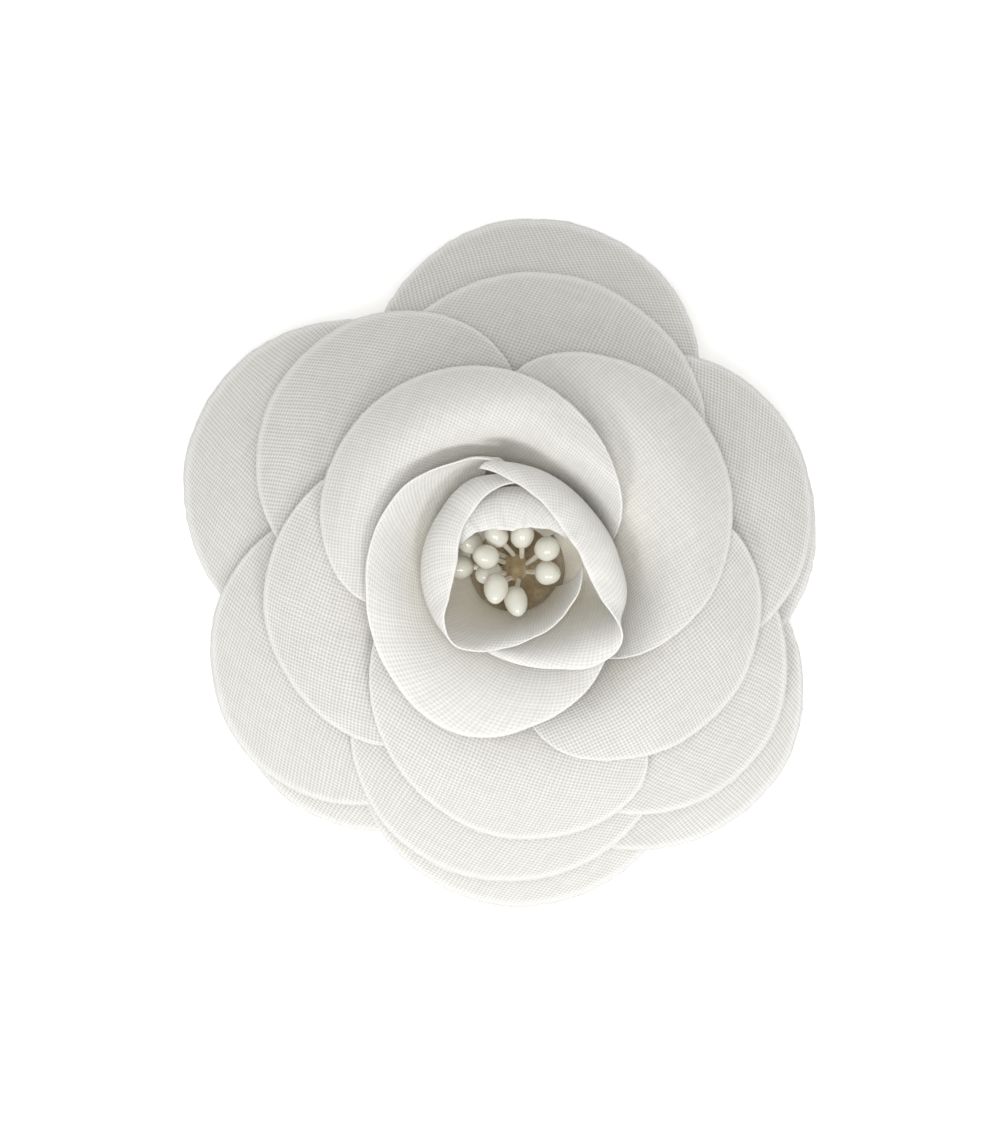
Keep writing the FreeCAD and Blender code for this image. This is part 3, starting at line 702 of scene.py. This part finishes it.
def make_felt_strip(felt):
    """A strip across the clip's upper arm, with both ends stepped up onto the disc."""
    low, high = ([c / MM for c in corner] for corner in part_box("felt_patch"))
    inner, half = STRIP_FLAT, (high[1] - low[1]) / 2
    bottom, top = low[2] + FELT_STRIP_T / 2, high[2] - FELT_STRIP_T / 2
    path = [
        (-half, top), (-inner - 1.7, top - 0.05), (-inner - 0.9, top - 0.35),
        (-inner - 0.3, bottom + 0.35), (-inner + 0.5, bottom + 0.04), (0, bottom),
        (inner - 0.5, bottom + 0.04), (inner + 0.3, bottom + 0.35),
        (inner + 0.9, top - 0.35), (inner + 1.7, top - 0.05), (half, top),
    ]
    along = np.linspace(0, len(path) - 1, 90)
    ys, zs = (smooth_values([(k, p[axis]) for k, p in enumerate(path)], along) for axis in (0, 1))
    xs = np.linspace(low[0] + FELT_EASE, high[0] - FELT_EASE, 48)
    points = np.stack(np.broadcast_arrays(xs[None, :], ys[:, None], zs[:, None]), axis=-1)
    points = points + 0.05 * lumps(points, 1.5, 17)[..., None]
    verts, faces = closed_skins(points, FELT_STRIP_T / 2 - STRIP_INSET)
    strip = new_piece("felt_strip", verts, faces, felt, node="felt_patch")


def make_felt():
    felt = fibre("pressed_felt", (0.86, 0.85, 0.80, 1), (0.76, 0.74, 0.67, 1), 380.0, 0.35, 0.8)
    make_felt_disc(felt)
    make_felt_strip(felt)


def make_glue():
    low, high = ([c / MM for c in corner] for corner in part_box("glue_pad"))
    half_x, half_y = (high[0] - low[0]) / 2, (high[1] - low[1]) / 2 + 1.0
    verts, faces = rounded_slab(half_x, half_y, low[2] - 0.35, high[2] - 0.01, 5.0, 0.5, 23)
    verts = [(x + (low[0] + high[0]) / 2, y, z) for x, y, z in verts]
    new_piece("glue_layer", verts, faces, set_glue(), node="glue_pad")


# ---- clip ---------------------------------------------------------------------------------------
def make_clip():
    plate = plated_steel("nickel_plate", (0.80, 0.79, 0.77, 1), 0.16, 0.34, 0)
    pin = plated_steel("pin_steel", (0.62, 0.61, 0.60, 1), 0.25, 0.45, 1)
    wire = plated_steel("spring_wire", (0.50, 0.50, 0.51, 1), 0.22, 0.42, 1)
    for node, material in (("clip_upper_arm", plate), ("clip_lower_arm", plate), ("pivot_pin", pin)):
        for slot in frame["nodes"][node].material_slots:
            slot.material = material

    hinge = HINGE["pos_m"]
    pivot_x, _, pivot_z = (c / MM for c in hinge)
    width = COIL_TURNS * COIL_PITCH
    path = [(LEG_LOW[0], width / 2, LEG_LOW[1]), ((LEG_LOW[0] + pivot_x) / 2, width / 2, LEG_LOW_BEND_Z)]
    steps = round(COIL_TURNS * TURN_STEPS)
    for k in range(steps + 1):
        a = 2 * pi * k / TURN_STEPS - pi / 2
        path.append((pivot_x + COIL_R * cos(a), width / 2 - width * k / steps, pivot_z + COIL_R * sin(a)))
    path += [((LEG_HIGH[0] + pivot_x) / 2, -width / 2, LEG_HIGH_BEND_Z),
             (LEG_HIGH[0], -width / 2, LEG_HIGH[1])]
    verts, faces = tube(path, WIRE_R, 16)
    spring = new_piece("coil_spring", verts, faces, wire, node="torsion_spring", body=None)
    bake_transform(spring)


# ---- camera, floor and light --------------------------------------------------------------------
def make_floor():
    side = FLOOR_HALF
    corners = [(-side, -side, 0), (side, -side, 0), (side, side, 0), (-side, side, 0)]
    mesh = bpy.data.meshes.new("floor")
    mesh.from_pydata(corners, [], [(0, 1, 2, 3)])
    floor = bpy.data.objects.new("floor", mesh)
    floor.location.z = -FLOOR_DROP
    bpy.context.scene.collection.objects.link(floor)
    g = Graph("pale_floor")
    mesh.materials.append(g.finish(g.shader(base_color=(0.95, 0.95, 0.945, 1), roughness=0.9,
                                            emission_color=(1.0, 1.0, 0.995, 1),
                                            emission_strength=FLOOR_GLOW)))


def make_light():
    world = bpy.data.worlds.new("studio")
    bpy.context.scene.world = world
    world.use_nodes = True
    background = world.node_tree.nodes["Background"]
    background.inputs["Color"].default_value = (1.0, 0.995, 0.985, 1)
    background.inputs["Strength"].default_value = SKY_STRENGTH
    bpy.context.scene.view_settings.view_transform = "Standard"
    for name, place, size, power, mirrored in SOFTBOXES:
        light = bpy.data.lights.new(name, "AREA")
        light.shape, light.size, light.energy = "DISK", size, power
        lamp = bpy.data.objects.new(name, light)
        lamp.location = place
        lamp.visible_glossy = mirrored
        lamp.rotation_euler = (-Vector(place)).to_track_quat("-Z", "Y").to_euler()
        bpy.context.scene.collection.objects.link(lamp)


def make_camera():
    camera = bpy.data.cameras.new("camera")
    camera.sensor_fit, camera.sensor_height = "VERTICAL", SENSOR_MM
    camera.lens = camera.sensor_height * CAMERA_AWAY / FRAME_HEIGHT
    camera.clip_start, camera.clip_end = 0.05, 20.0
    viewer = bpy.data.objects.new("camera", camera)
    viewer.location = (0, 0, LOOK_Z + CAMERA_AWAY)
    bpy.context.scene.collection.objects.link(viewer)
    bpy.context.scene.camera = viewer


make_floor()
make_light()
make_camera()
make_petals()
make_stamens()
make_core()
make_felt()
make_glue()
make_clip()
